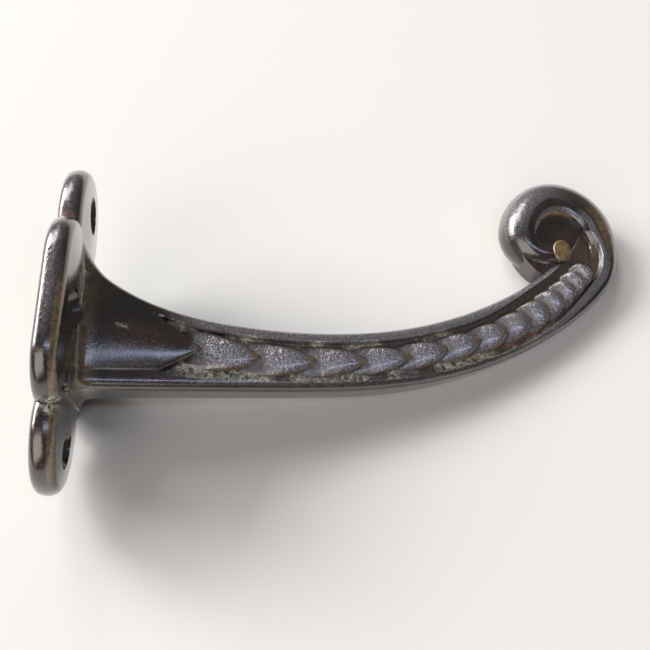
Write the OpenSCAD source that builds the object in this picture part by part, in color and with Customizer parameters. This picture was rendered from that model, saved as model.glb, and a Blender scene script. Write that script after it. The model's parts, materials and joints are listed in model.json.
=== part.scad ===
// Ornamental wall hook, one iron casting.
// A lobed back plate with four countersunk screw holes carries a tapering
// arm that sweeps out and curls up into a scroll. Each side of the arm has
// a recessed channel with a chain of overlapping husks.
// Frame: the wall is the plane Y = 0, the arm reaches along -Y, +Z is up,
// and the casting is symmetric about X = 0.

/* [Back plate] */
// Width across the two side lobes
plate_w = 40.5; // [38:0.5:56]
// Height of the side lobes
lobe_h = 38; // [34:0.5:50]
// Height over the top and bottom tabs
plate_h = 68.4; // [60:0.2:90]
// Radius of the top and bottom tabs
tab_r = 12.5; // [9:0.1:14]
// Corner radius of the side lobes
lobe_r = 11; // [8:0.5:15]
// Thickness at the fully rounded rim
rim_t = 4.8; // [4:0.1:7]
// Swell of the front of the side lobes
lobe_crown = 1.6; // [0.4:0.1:2.4]
// Swell of the front of the tabs
tab_crown = 0.5; // [0.2:0.1:1]

/* [Screw holes] */
// Diameter of the four screw holes
hole_d = 4.8; // [3:0.1:6]
// Diameter of the countersinks
sink_d = 8.2; // [6.5:0.1:9.5]
// Distance between the tab holes, up and down
tab_holes = 50; // [44:0.5:66]
// Distance between the side holes, across
side_holes = 24; // [22:0.5:40]

/* [Arm] */
// Reach from the wall to the far side of the scroll
reach = 129.8; // [105:0.1:170]
// Drop of the underside below the plate's middle, at the wall
drop = 14.5; // [8:0.1:15]
// Rise of the straight part of the underside, in degrees
rise = 2.2; // [0:0.1:8]
// Height of the arm past its root
arm_h = 11.9; // [10:0.1:14]
// Extra height that the arm gains before the scroll
arm_gain = 1.1; // [0:0.1:2]
// Thickness of the arm past its root
arm_t = 10; // [9:0.1:14]
// Extra height of the flared root
root_h = 16; // [6:0.1:18]
// Extra thickness of the flared root
root_t = 2.4; // [0.5:0.1:4]
// Distance in which the flare of the root fades
root_fade = 16; // [8:0.5:24]
// Fillet over the root, up to the plate
root_fillet = 6; // [2:0.1:8]
// Fillet beside the root, out to the plate
side_fillet = 3.4; // [1:0.1:5]
// Radius of the four long edges
edge_r = 2; // [0.8:0.1:2.4]

/* [Scroll] */
// Radius of the gentle sweep in the middle of the arm
sweep_r = 99.5; // [80:0.5:200]
// Radius of the scroll's outer edge
scroll_r = 15.05; // [13.5:0.05:16]
// Radius of the last quarter turn, at the tail
tail_r = 9.35; // [8.5:0.05:11]
// Width of the horn that forms the scroll
horn_w = 10.2; // [8:0.1:10.5]
// Width of the horn where its tail ends in the eye
tail_w = 5.4; // [4.5:0.1:6.5]
// Extra thickness of the bulb on the wall side of the scroll
bulb_t = 1.3; // [0:0.1:4.5]
// Thickness of the web in the hollow of the scroll
web_t = 6; // [4:0.1:8]
// Height of the oval eye
eye_h = 5.4; // [4:0.1:6.5]
// Width of the oval eye
eye_w = 4.6; // [3.6:0.1:5.4]
// Thickness over the faces of the eye
eye_t = 10.6; // [9:0.1:12]

/* [Husks] */
// Depth of the channel in each side
channel_d = 1.6; // [0.6:0.1:2]
// Width of the rims beside the channel
rim_w = 1; // [0.8:0.1:1.6]
// Distance from the wall to the tip of the root leaf
leaf_tip = 30.2; // [26:0.1:40]
// Length of the root leaf's point
leaf_point = 8.2; // [5:0.1:12]
// Length of the first husk
husk_first = 12.2; // [9:0.1:14]
// Length of the last husk
husk_last = 3; // [2.6:0.1:5]

/* [Hidden] */
iron = "#33302f";
clear = 1;

// ---- plain helpers ----
function unit(x) = min(max(x, 0), 1);
function ease(x) = let (t = unit(x)) t * t * (3 - 2 * t);
function mix(a, b, t) = a + (b - a) * t;

// ---- underside of the arm: distance s from the wall to [u, z, heading] ----
// u is the distance from the wall and z the height. The underside runs
// straight, eases into the sweep, tightens to the scroll and ends in the tail.
degrees = 180 / PI;
sweep_in = 49.5;
tighten_at = 25;
tighten_len = 82.5;
tighten_power = 7.5;
tail_at = 151;
tail_ease = 8;
curl_len = 176.5;
curl_step = 0.5;
curl_count = curl_len / curl_step;

// Bend in degrees per millimetre, t past the end of the straight part
function bend(t) =
    let (sweep = degrees / sweep_r)
    let (scroll = degrees / scroll_r)
    let (tail = degrees / tail_r)
    sweep * ease(t / sweep_in)
    + (scroll - sweep) * pow(unit((t - tighten_at) / tighten_len), tighten_power)
    + (tail - scroll) * ease((t - tail_at) / tail_ease);

// Points [u, z, heading] of the curl, from the end of the straight part
curl = [
    for (
        i = 0, u = 0, z = 0, a = rise;
        i <= curl_count;
        k = bend((i + 0.5) * curl_step) * curl_step,
        u = u + curl_step * cos(a + k / 2),
        z = z + curl_step * sin(a + k / 2),
        a = a + k,
        i = i + 1
    ) [u, z, a]
];

// The straight part takes up what the curl leaves of the reach
straight = (reach - max([for (p = curl) p[0]])) / cos(rise);
path_end = straight + curl_len;

function curl_at(t) =
    let (i = min(floor(t / curl_step), curl_count - 1))
    mix(curl[i], curl[i + 1], t / curl_step - i);

function edge_at(s) =
    s <= straight
        ? [s * cos(rise), s * sin(rise) - drop, rise]
        : curl_at(s - straight) + [straight * cos(rise), straight * sin(rise) - drop, 0];

// Point at distance s along the underside, q in from it and x to the side
function place(s, q, x) =
    let (p = edge_at(s))
    [x, -(p[0] - q * sin(p[2])), p[1] + q * cos(p[2])];

// ---- stretches of the path ----
plate_front = rim_t + lobe_crown / 2;
horn_start = straight + 95;
horn_full = horn_start + 19;
bulb_start = straight + 123.5;
top_rim_end = straight + 85.8;
top_rim_fade = 8;
joint = straight + 130.3;

// Share of the plain arm (0) or of the round horn (1) in the section
function horn(s) = ease((s - horn_start) / (horn_full - horn_start));

// Fillet against the plate, for a fillet radius r
function fillet(s, r) =
    let (t = unit((s - plate_front) / r))
    r * (1 - sqrt(1 - pow(1 - t, 2)));

function flare(s) = exp(-max(s - plate_front, 0) / root_fade);

// Width of the horn, tapering to the tail
horn_taper = 1.67;
function horn_width(s) =
    mix(horn_w, tail_w, pow(unit((s - bulb_start) / (path_end - bulb_start)), horn_taper));

// Half thickness of the horn, swelling at the bulb
bulb_at = straight + 147.7;
bulb_len = 22;
function horn_side(s) =
    arm_t / 2 + bulb_t / 2 * ease(1 - abs(s - bulb_at) / bulb_len);

// Height and half thickness of the plain arm
gain_from = 45;
gain_len = 60;
function arm_height(s) =
    arm_h + arm_gain * ease((s - gain_from) / gain_len) + root_h * flare(s);
function arm_side(s) = (arm_t + root_t * flare(s)) / 2;

// Width of the lower and the upper rim, outside the channel
leaf_start = leaf_tip - leaf_point;
low_rim_more = 0.6;
low_rim_root = 2;
low_rim_fade = 10;
low_rim_end = 2;
low_rim_turn = straight + 69;
low_rim_grow = 26;
function low_rim(s) =
    rim_w + low_rim_more + low_rim_root * exp(-max(s - leaf_start, 0) / low_rim_fade)
    + low_rim_end * ease((s - low_rim_turn) / low_rim_grow);

top_rim_more = 1.4;
top_rim_turn = straight + 58;
top_rim_thin = 22;
function top_rim(s) =
    rim_w + top_rim_more * (1 - ease((s - top_rim_turn) / top_rim_thin));

// ---- husks ----
// Tips of the husks: the pitch shortens from the first husk to the last
chain_end = straight + 96.5;
chain_len = chain_end - leaf_tip;
husk_shrink = 1.5;
function next_tip(s) =
    s + mix(husk_first, husk_last, pow(unit((s - leaf_tip) / chain_len), husk_shrink));
function tips_from(s) = s > leaf_tip + chain_len ? [] : concat([s], tips_from(next_tip(s)));
tips = tips_from(leaf_tip);
husks = len(tips) - 1;
husk_overlap = 0.5;

// Middle line and half width of the chain, as shares of the channel's width:
// the husks come down from the tip of the leaf, and later to the lower rim
mid_first = 0.58;
mid_arm = 0.53;
mid_last = 0.41;
mid_turn = straight + 48.5;
mid_settle = 45;
half_first = 0.4;
half_last = 0.36;
half_from = 15;
half_settle = 40;
function chain_mid(s) =
    mix(mid_first, mid_arm, ease((s - leaf_tip) / half_from))
    + (mid_last - mid_arm) * ease((s - mid_turn) / mid_settle);
function chain_half(s) =
    mix(half_first, half_last, ease((s - leaf_tip - half_from) / half_settle));

// Half width of a husk, as a share of the chain's: p is 0 at the root, 1 at the tip
neck = 0.8;
widest = 0.4;
husk_power = 2.2;
function husk_outline(p) = p < widest
    ? mix(neck, 1, ease(p / widest))
    : pow(1 - pow((p - widest) / (1 - widest), husk_power), 0.65);

// Height along a husk: low at the root, full at the crest, rounding down to the tip
husk_root = 0.12;
husk_crest = 0.72;
husk_fall = 0.26;
function husk_back(p) =
    mix(husk_root, 1, ease(p / husk_crest))
    - husk_fall * pow(unit((p - husk_crest) / (1 - husk_crest)), 2);

// Height of husk i above the channel floor, as a share of the channel's depth,
// at e across the chain: -1 at its lower side and 1 at its upper side
husk_side = 0.24;
function husk_rise(i, s, e) =
    let (first = tips[i] - husk_overlap * (tips[i + 1] - tips[i]))
    let (p = (s - first) / (tips[i + 1] - first))
    p <= 0 || p >= 1
        ? 0
        : let (t = abs(e) / husk_outline(p))
            t >= 1 ? 0 : husk_back(p) * mix(husk_side, 1, sqrt(1 - pow(t, 2.4)));

// Root leaf: the full side up to its point, a little crowned. Its middle runs
// from the channel's to the chain's, and c is the share across the channel.
leaf_crown = 0.7;
function leaf_rise(s, c) =
    s >= leaf_tip
        ? 0
        : let (close = unit((leaf_tip - s) / leaf_point))
            let (t = abs(c - mix(mid_first, 0.5, close)) * 2 / close)
            t >= 1 ? 0 : 1 + leaf_crown * (1 - t * t) * close;

// Level in the channel at share c across it, as a share of its depth
function relief(s, c) =
    let (e = (c - chain_mid(s)) / chain_half(s))
    max([leaf_rise(s, c), for (i = [0 : husks - 1]) husk_rise(i, s, e)]);

// ---- section of the arm and the scroll ----
// Half of the section as [x, q] points, from the underside to the top. The
// channel has points across the chain, and one on the floor above it.
across = [-1.02, -0.85, -0.4, 0.4, 0.85, 1.02];
wall_slope = 0.35;
function shares(s) =
    let (low = [for (e = across) chain_mid(s) + e * chain_half(s)])
    concat(low, [(low[len(low) - 1] + 1) / 2]);

// Long edge of radius r, rounding up to the side w and on to the depth a
function corner(w, r, a) =
    let (turn = acos(1 - min(a, r) / r))
    concat(
        [for (t = [0, 0.4, 0.8]) [w - r + r * sin(turn * t), r * (1 - cos(turn * t))]],
        [[w - r + r * sin(turn), a]]
    );

function arm_half(s) =
    let (f = fillet(s, root_fillet))
    let (f_low = fillet(s, root_fillet / 3))
    let (w = arm_side(s) + fillet(s, side_fillet))
    let (top = arm_height(s) + f)
    let (a = low_rim(s))
    let (b = arm_height(s) - top_rim(s))
    let (floor_x = w - channel_d)
    let (wall_x = s < leaf_start ? w : floor_x)
    let (rim_x = mix(w, floor_x, ease((s - top_rim_end) / top_rim_fade)))
    let (under = corner(w, edge_r, a + f_low))
    let (upper = corner(rim_x, edge_r, top - b))
    concat(
        [for (p = under) [p[0], p[1] - f_low]],
        [[wall_x, a + wall_slope]],
        [
            for (c = shares(s))
                [floor_x + channel_d * relief(s, c), mix(a + wall_slope, b - wall_slope, c)]
        ],
        [[min(wall_x, rim_x), b - wall_slope]],
        [for (i = [3 : -1 : 0]) [upper[i][0], top - upper[i][1]]]
    );

// The horn: round outside, its crest close to the inner lip, then the web
crest_right = 0.8;
crest_bulb = 0.55;
crest_shift = 18;
web_lap = 1.4;
function horn_half(s) =
    let (w = horn_side(s))
    let (width = horn_width(s))
    let (crest = width * mix(crest_right, crest_bulb, ease((s - bulb_start) / crest_shift)))
    let (web = web_t / 2)
    concat(
        [
            for (a = [14, 36, 62, 90])
                [w * sin(a), crest * (1 - cos(a))]
        ],
        [
            for (a = [30, 60, 90])
                [mix(web, w, cos(a)), mix(crest, width, sin(a))]
        ],
        [for (i = [1 : 10]) [web, width + web_lap * i / 10]]
    );

function ring(s) =
    let (m = horn(s))
    let (half = m == 0 ? arm_half(s) : m == 1 ? horn_half(s) : mix(arm_half(s), horn_half(s), m))
    concat(
        [for (p = half) place(s, p[1], p[0])],
        [for (i = [len(half) - 1 : -1 : 0]) place(s, half[i][1], -half[i][0])]
    );

// Closed skin through a list of rings, each symmetric from side to side
module skin(rings) {
    n = len(rings[0]);
    h = n / 2;
    last = len(rings) - 1;
    sides = [
        for (i = [0 : last - 1], j = [0 : n - 1])
            let (k = (j + 1) % n)
            each [
                [i * n + j, (i + 1) * n + k, i * n + k],
                [i * n + j, (i + 1) * n + j, (i + 1) * n + k]
            ]
    ];
    start = [
        for (j = [0 : h - 2])
            each [
                [j, j + 1, n - 1 - j],
                [n - 1 - j, j + 1, n - 2 - j]
            ]
    ];
    end = [
        for (j = [0 : h - 2])
            each [
                [last * n + j, last * n + n - 1 - j, last * n + j + 1],
                [last * n + n - 1 - j, last * n + n - 2 - j, last * n + j + 1]
            ]
    ];
    polyhedron(points = [for (r = rings) each r], faces = concat(sides, start, end));
}

// ---- where the rings stand ----
// The rings of the chain are shared out, so more husks get fewer rings each
chain_total = 92;
husk_rings = floor(chain_total / husks);
root_rings = [
    plate_front / 2,
    for (a = [0 : 18 : 90]) plate_front + root_fillet * (1 - cos(a)),
    for (i = [1 : 3]) mix(plate_front + root_fillet, leaf_start, i / 3 - 0.02),
    for (i = [0 : 4]) mix(leaf_start, leaf_tip, i / 5)
];
chain_rings = [
    for (i = [0 : husks - 1], k = [0 : husk_rings - 1]) mix(tips[i], tips[i + 1], k / husk_rings)
];
curl_rings = [for (i = [0 : 11]) mix(tips[husks], joint, i / 12), joint];
tail_rings = [for (i = [0 : 22]) mix(joint, path_end, i / 22)];

module arm() {
    skin([for (s = concat(root_rings, chain_rings, curl_rings)) ring(s)]);
}

module scroll() {
    skin([for (s = tail_rings) ring(s)]);
}

// Flat web that closes the hollow of the scroll
web_inset = 2.6;
module web() {
    hub = place(joint, scroll_r, 0);
    translate([-web_t / 2, hub[1], hub[2]])
        rotate([0, 90, 0])
            cylinder(r = scroll_r - web_inset, h = web_t, $fn = 96);
}

// The eye, an oval button on both sides that stands at the end of the tail
eye_sides = 28;
module eye() {
    oval = [
        for (i = [0 : eye_sides - 1])
            let (a = 360 * i / eye_sides)
            [eye_h * cos(a), eye_w * sin(a)] / 2
    ];
    translate(place(path_end, tail_w / 2, -eye_t / 2))
        rotate([0, 90, 0])
            linear_extrude(eye_t)
                polygon(oval);
}

// ---- plate ----
// Distance from the middle to the outline of a rounded rectangle, towards angle a
function outline(a, w, h, r) =
    let (d = [abs(cos(a)), abs(sin(a))])
    let (c = [w - r, h - r])
    let (side = d[0] < 0.000001 ? w * h : w / d[0])
    let (top = d[1] < 0.000001 ? w * h : h / d[1])
    side * d[1] <= c[1]
        ? side
        : top * d[0] <= c[0]
            ? top
            : d * c + sqrt(pow(d * c, 2) - c * c + r * r);

// A lobe of the plate: flat back, rounded rim that is squarer than a half
// circle, and a front that swells almost like a cone
rim_square = 0.7;
crown_power = 1.3;
module lobe(w, h, r, crown, sides) {
    half_t = rim_t / 2;
    rim = [
        for (a = [-90 : 30 : 90])
            [half_t * (1 - pow(max(cos(a), 0), rim_square)), half_t * (1 + sin(a)), 1]
    ];
    front = [for (k = [0.85, 0.6, 0.3]) [half_t, rim_t + crown * (1 - pow(k, crown_power)), k]];
    levels = concat(rim, front);
    points = [
        for (l = levels, i = [0 : sides - 1])
            let (a = 360 * (i + 0.5) / sides)
            let (d = outline(a, w - l[0], h - l[0], r - l[0]) * l[2])
            [d * cos(a), -l[1], d * sin(a)]
    ];
    last = len(levels) - 1;
    walls = [
        for (j = [0 : last - 1], i = [0 : sides - 1])
            let (k = (i + 1) % sides)
            each [
                [j * sides + i, (j + 1) * sides + k, j * sides + k],
                [j * sides + i, (j + 1) * sides + i, (j + 1) * sides + k]
            ]
    ];
    middle = len(points);
    back = [for (i = [0 : sides - 1]) [i, (i + 1) % sides, middle]];
    cap = [for (i = [0 : sides - 1]) [last * sides + (i + 1) % sides, last * sides + i, middle + 1]];
    polyhedron(
        points = concat(points, [[0, 0, 0], [0, -rim_t - crown, 0]]),
        faces = concat(walls, back, cap)
    );
}

module plate() {
    lobe(plate_w / 2, lobe_h / 2, lobe_r, lobe_crown, 64);
    for (end = [-1, 1])
        translate([0, 0, end * (plate_h / 2 - tab_r)])
            lobe(tab_r, tab_r, tab_r, tab_crown, 48);
}

// A countersunk screw hole through the plate, cut from the wall face
module screw_hole(x, z) {
    sink_h = (sink_d - hole_d) / 2;
    translate([x, 0, z])
        rotate([90, 0, 0]) {
            translate([0, 0, -clear])
                cylinder(d = hole_d, h = rim_t + 2 * clear, $fn = 64);
            translate([0, 0, rim_t - sink_h])
                cylinder(d1 = hole_d, d2 = sink_d, h = sink_h, $fn = 64);
            translate([0, 0, rim_t])
                cylinder(d = sink_d, h = lobe_crown + clear, $fn = 64);
        }
}

module hook() {
    color(iron)
        difference() {
            union() {
                plate();
                arm();
                scroll();
                web();
                eye();
            }
            for (end = [-1, 1]) {
                screw_hole(0, end * tab_holes / 2);
                screw_hole(end * side_holes / 2, 0);
            }
        }
}

hook();
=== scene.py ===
"""Looks of an ornamental cast iron wall hook.

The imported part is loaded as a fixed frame. One casting, made of surfaces that
are worked out with numpy and joined to one closed skin, stands for its plain
solid. A stage with a pale floor, soft lamps and a camera completes the scene.
"""

import json
import math
from types import SimpleNamespace

import bpy
import numpy as np
from mathutils import Matrix, Vector


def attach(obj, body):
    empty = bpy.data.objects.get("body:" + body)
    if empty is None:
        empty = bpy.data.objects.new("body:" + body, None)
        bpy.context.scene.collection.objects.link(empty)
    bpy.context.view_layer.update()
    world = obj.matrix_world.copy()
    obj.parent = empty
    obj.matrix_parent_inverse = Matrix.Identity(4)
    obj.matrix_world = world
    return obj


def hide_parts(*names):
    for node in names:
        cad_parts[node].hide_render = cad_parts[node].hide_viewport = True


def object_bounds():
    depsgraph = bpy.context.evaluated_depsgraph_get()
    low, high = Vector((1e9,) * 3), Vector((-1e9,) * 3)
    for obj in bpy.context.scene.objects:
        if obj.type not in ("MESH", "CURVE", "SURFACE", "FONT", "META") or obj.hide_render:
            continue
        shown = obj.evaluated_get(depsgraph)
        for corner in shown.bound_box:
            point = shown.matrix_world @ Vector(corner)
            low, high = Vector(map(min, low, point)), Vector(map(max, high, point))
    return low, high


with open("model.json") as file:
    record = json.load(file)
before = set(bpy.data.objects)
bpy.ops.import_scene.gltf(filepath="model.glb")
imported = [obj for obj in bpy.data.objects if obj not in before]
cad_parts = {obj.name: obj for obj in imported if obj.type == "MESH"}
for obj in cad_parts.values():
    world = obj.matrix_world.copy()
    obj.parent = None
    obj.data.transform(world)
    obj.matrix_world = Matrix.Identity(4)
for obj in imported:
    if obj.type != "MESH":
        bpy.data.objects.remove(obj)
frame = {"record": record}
CAD_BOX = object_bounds()

bl_info = {
    "name": "Cast Iron Wall Hook",
    "version": (1, 0, 0),
    "blender": (4, 5, 0),
    "location": "3D View > Sidebar > Wall Hook",
    "description": "Builds an old cast iron wall hook with husk chains and a scroll",
    "category": "Add Mesh",
}

MM = 0.001


def mount_sizes(name):
    """Sizes in millimetres of the record's mount of that name."""
    return next(m["dims"] for m in frame["record"]["mounts"] if m["name"] == name)


TAB_HOLES = mount_sizes("tab_screws")
SIDE_HOLES = mount_sizes("side_screws")


# -------- settings


def linear(hex_value):
    """An sRGB hex value as linear RGBA, by the standard curve of sRGB."""
    c = np.array([int(hex_value[i : i + 2], 16) for i in (0, 2, 4)]) / 255
    c = np.where(c <= 0.04045, c / 12.92, ((c + 0.055) / 1.055) ** 2.4)
    return (*c.tolist(), 1.0)


def length(name, description, default):
    """A length, its default given in millimetres and kept in metres."""
    return bpy.props.FloatProperty(
        name=name,
        description=description,
        default=default * MM,
        min=0.0,
        precision=5,
        unit="LENGTH",
    )


def paint(name, description, default):
    """A colour, its default given as an sRGB hex value."""
    return bpy.props.FloatVectorProperty(
        name=name,
        description=description,
        default=linear(default),
        size=4,
        min=0.0,
        max=1.0,
        subtype="COLOR",
    )


def in_mm(sizes):
    """The sizes of a group by name, its lengths in millimetres."""
    numbers = {}
    for prop in sizes.bl_rna.properties:
        if prop.type == "FLOAT":
            scale = MM if prop.unit == "LENGTH" else 1
            numbers[prop.identifier] = getattr(sizes, prop.identifier) / scale
    return SimpleNamespace(**numbers)


class PlateSizes(bpy.types.PropertyGroup):
    """Sizes of the back plate and its screw holes."""

    width: length("Width", "Width across the side lobes", (CAD_BOX[1].x - CAD_BOX[0].x) / MM)
    lobe_height: length("Lobe height", "Height of the side lobes", 38.0)
    height: length("Height", "Height over the top and bottom tabs", -2 * CAD_BOX[0].z / MM)
    tab_radius: length("Tab radius", "Radius of the top and bottom tabs", 12.5)
    lobe_radius: length("Lobe radius", "Corner radius of the side lobes", 11.0)
    notch: length("Notch", "From the middle to the notches between the lobes", 12.2)
    rim: length("Rim", "Thickness at the rounded rim", 4.8)
    lobe_crown: length("Lobe crown", "Swell of the front of the side lobes", 1.6)
    tab_crown: length("Tab crown", "Swell of the front of the tabs", 0.5)
    hole: length("Hole", "Diameter of the screw holes", 2 * TAB_HOLES["hole_r_mm"])
    sink: length("Countersink", "Diameter of the countersinks", 8.2)
    tab_holes: length("Tab holes", "Distance between the tab holes", TAB_HOLES["spacing_y_mm"])
    side_holes: length("Side holes", "Distance between the side holes", SIDE_HOLES["spacing_x_mm"])


class ArmSizes(bpy.types.PropertyGroup):
    """Sizes of the arm, its channels and its husks."""

    reach: length("Reach", "From the wall to the far side of the scroll", -CAD_BOX[0].y / MM)
    drop: length("Drop", "Drop of the underside below the plate's middle", 14.5)
    rise: bpy.props.FloatProperty(
        name="Rise",
        description="Slope of the underside",
        default=math.radians(2.2),
        subtype="ANGLE",
    )
    height: length("Height", "Height of the arm past its root", 11.9)
    gain: length("Gain", "Extra height that the arm gains before the scroll", 1.1)
    thickness: length("Thickness", "Thickness of the arm past its root", 10.0)
    root_height: length("Root height", "Extra height of the flared root", 16.0)
    root_thickness: length("Root thickness", "Extra thickness of the flared root", 2.4)
    root_fade: length("Root fade", "Distance in which the flare fades", 16.0)
    fillet: length("Fillet", "Fillet over the root, up to the plate", 6.0)
    side_fillet: length("Side fillet", "Fillet beside the root, out to the plate", 3.4)
    edge: length("Edge", "Radius of the four long edges", 2.0)
    channel: length("Channel", "Depth of the channel in each side", 1.6)
    rim: length("Rim", "Width of the rims beside the channel", 1.0)
    leaf_tip: length("Leaf tip", "From the wall to the tip of the root leaf", 30.2)
    leaf_point: length("Leaf point", "Length of the root leaf's point", 8.2)
    first_husk: length("First husk", "Length of the first husk", 12.2)
    last_husk: length("Last husk", "Length of the last husk", 3.0)


class ScrollSizes(bpy.types.PropertyGroup):
    """Sizes of the scroll."""

    sweep: length("Sweep", "Radius of the gentle sweep in the arm", 99.5)
    radius: length("Radius", "Radius of the scroll's outer edge", 15.05)
    tail_radius: length("Tail radius", "Radius of the last quarter turn", 9.35)
    horn: length("Horn", "Width of the horn that forms the scroll", 10.2)
    tail: length("Tail", "Width of the horn where it ends in the eye", 5.4)
    bulb: length("Bulb", "Extra thickness of the bulb", 1.3)
    web: length("Web", "Thickness of the web in the hollow", 6.0)
    eye_height: length("Eye height", "Height of the oval eye", 5.4)
    eye_width: length("Eye width", "Width of the oval eye", 4.6)
    eye_thickness: length("Eye thickness", "Thickness over the faces of the eye", 10.6)


class FinishColours(bpy.types.PropertyGroup):
    """Colours of the old finish and of the floor."""

    japan: paint("Japan", "Black japan over the iron", "150f0b")
    maroon: paint("Maroon", "Thin japan, where it looks brown-red", "2f1510")
    worn: paint("Worn iron", "Husk backs, where bare iron shows", "a4a1a8")
    tip: paint("Tip", "Old varnish on the husk tips and the eye", "826b42")
    residue: paint("Residue", "Cream-green paint left in the pockets", "d2d0ba")
    rust: paint("Rust", "Rust in the notches and pockets", "7a4026")
    # Deep is also painted shade on the root of each husk, under the tip of the one before.
    deep: paint("Deep", "Dirt on the floor of the channels", "1e150f")
    floor: paint("Floor", "Colour of the floor", "dcdad6")


# -------- plain helpers


def unit(x):
    """x held between 0 and 1."""
    return np.clip(x, 0.0, 1.0)


def ease(x):
    """Smooth step from 0 to 1: 3 t squared minus 2 t cubed."""
    t = unit(x)
    return t * t * (3 - 2 * t)


def grow(x, start, span):
    """Eased step from 0 at the start to 1 at the end of the span."""
    return ease((x - start) / span)


def fade(x, end, span):
    """Eased step down to 0 at the end, over the span before it."""
    return ease((end - x) / span)


def mix(a, b, t):
    """The value t of the way from a to b."""
    return a + (b - a) * t


def near(s, places, reach):
    """1 at each of the places along s, eased to 0 within the reach."""
    return ease(1 - np.abs(s - np.array(places)[:, None, None]) / reach).max(0)


# -------- shape of the arm and the scroll


# The finish's masks, from 0 to 1 on the points: yellowed varnish, bare worn iron, paint
# left in the pockets, rust, and deep: grime on the channel floors and the web, and painted
# shade on the root of each husk.
MASKS = ("olive", "worn", "residue", "rust", "deep")


class Casting:
    """The shape of the arm and the scroll, in millimetres, as functions of the distance s
    along the underside and the depth q in from it. The channel lies between the depths a,
    at the lower rim, and b, at the upper one."""

    # Step of the path, and its bend by the distance past the straight run: the sweep
    # comes in, from TIGHTEN_AT on it tightens to the scroll, and then to the tail.
    STEP = 0.05
    SWEEP_IN = 49.5
    TIGHTEN_AT, TIGHTEN_LENGTH, TIGHTEN_POWER = 25.0, 82.5, 7.5
    TAIL_TURN = (151.0, 8.0)

    # Places past the straight run. A pair is the start and the span of an eased step.
    TOP_RIM_THINS, TOP_RIM_END = (58, 22), 85.8
    LOW_RIM_WIDENS = (69, 26)
    CHAIN_FALLS, CHAIN_END = (48.5, 45), 96.5
    HORN_START, HORN_LENGTH = 95, 19
    BULB_START, BULB_AT, BULB_REACH = 123.5, 147.7, 22
    JOINT = 130.3
    CURL = 176.5

    # Steps along the arm from the wall: it gains height, the husks narrow, and their form
    # turns to that of the late ones.
    GAINS, HUSKS_NARROW, HUSKS_LATE = (45, 60), (45, 40), (60, 50)

    # Places along the arm where paint is left by the upper rim and in the line beside it,
    # and where the low side of the channel has rusted.
    PAINTED_TOP = (27, 38, 52, 63, 80, 86)
    PAINTED_LINE = (24, 40, 54, 67, 82)
    RUSTED = (91, 101, 109)

    # Points of a half profile: half of a rim's flat, its round, a wall and the floor of
    # the channel, and the lip of the horn, whose back takes as many as a rim.
    FLAT, ROUND, WALL, FLOOR, LIP = 5, 13, 3, 36, 14
    BACK = FLAT + ROUND
    FLOOR_START = BACK + WALL
    FLOOR_END = FLOOR_START + FLOOR
    COUNT = FLOOR_END + WALL + BACK

    # The lean of the channel's walls, and the share of the channel where the leaf's tip is.
    LEAN = 0.3
    LEAF_MIDDLE = 0.58

    def __init__(self, arm, scroll, plate):
        self.arm, self.scroll = arm, scroll
        self.front = plate.rim + plate.lobe_crown / 2
        self.lay_path()
        self.horn_start = self.straight + self.HORN_START
        self.horn_full = self.horn_start + self.HORN_LENGTH
        self.bulb_start = self.straight + self.BULB_START
        self.bulb_at = self.straight + self.BULB_AT
        self.joint = self.straight + self.JOINT
        self.end = self.straight + self.CURL
        self.top_rim_end = self.straight + self.TOP_RIM_END
        self.leaf_start = arm.leaf_tip - arm.leaf_point
        self.set_husks()

    def lay_path(self):
        """Underside: a straight run, then a bend that eases into the sweep, grows with a
        high power of the distance to the scroll's, and once more to the tail's. Heading is
        the running sum of the bend, and place the running sum of the heading."""
        n = int(round(self.CURL / self.STEP))
        t = (np.arange(n) + 0.5) * self.STEP
        sweep, scroll = 1 / self.scroll.sweep, 1 / self.scroll.radius
        tail = 1 / self.scroll.tail_radius
        tighten = unit((t - self.TIGHTEN_AT) / self.TIGHTEN_LENGTH) ** self.TIGHTEN_POWER
        bend = sweep * ease(t / self.SWEEP_IN)
        bend += (scroll - sweep) * tighten
        bend += (tail - scroll) * grow(t, *self.TAIL_TURN)
        rise = self.arm.rise
        turn = np.concatenate([[0.0], np.cumsum(bend * self.STEP)]) + rise
        middle = (turn[1:] + turn[:-1]) / 2
        u = np.concatenate([[0.0], np.cumsum(np.cos(middle) * self.STEP)])
        z = np.concatenate([[0.0], np.cumsum(np.sin(middle) * self.STEP)])
        self.straight = (self.arm.reach - u.max()) / math.cos(rise)
        run = np.array([math.cos(rise), math.sin(rise)]) * self.straight
        self.path_s = np.concatenate([[0.0], self.straight + np.arange(n + 1) * self.STEP])
        self.path_u = np.concatenate([[0.0], u + run[0]])
        self.path_z = np.concatenate([[0.0], z + run[1]]) - self.arm.drop
        self.path_turn = np.concatenate([[rise], turn])

    def edge_at(self, s):
        """Reach, height and heading of the underside at s."""
        values = self.path_u, self.path_z, self.path_turn
        return (np.interp(s, self.path_s, value) for value in values)

    def place(self, s, q, x):
        """Point in space: from the underside at s, q square to its heading and x aside."""
        u, z, turn = self.edge_at(s)
        across = np.broadcast_arrays(x, -(u - q * np.sin(turn)), z + q * np.cos(turn))
        return np.stack(across, -1)

    # ---- sizes along the path

    def flare(self, s):
        """Share of the root's extra size: it fades as e to the minus distance."""
        return np.exp(-np.maximum(s - self.front, 0) / self.arm.root_fade)

    def fillet(self, s, r):
        """Extra size from a fillet of radius r: a quarter circle down to nothing."""
        t = 1 - unit((s - self.front) / r)
        return r * (1 - np.sqrt(1 - t * t))

    def arm_height(self, s):
        """Height of the arm: even, with the flare at its root and a slow gain later."""
        gain = self.arm.gain * grow(s, *self.GAINS)
        return self.arm.height + gain + self.arm.root_height * self.flare(s)

    def arm_side(self, s):
        """Half the thickness of the arm: even, with the flare at its root."""
        return (self.arm.thickness + self.arm.root_thickness * self.flare(s)) / 2

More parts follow.
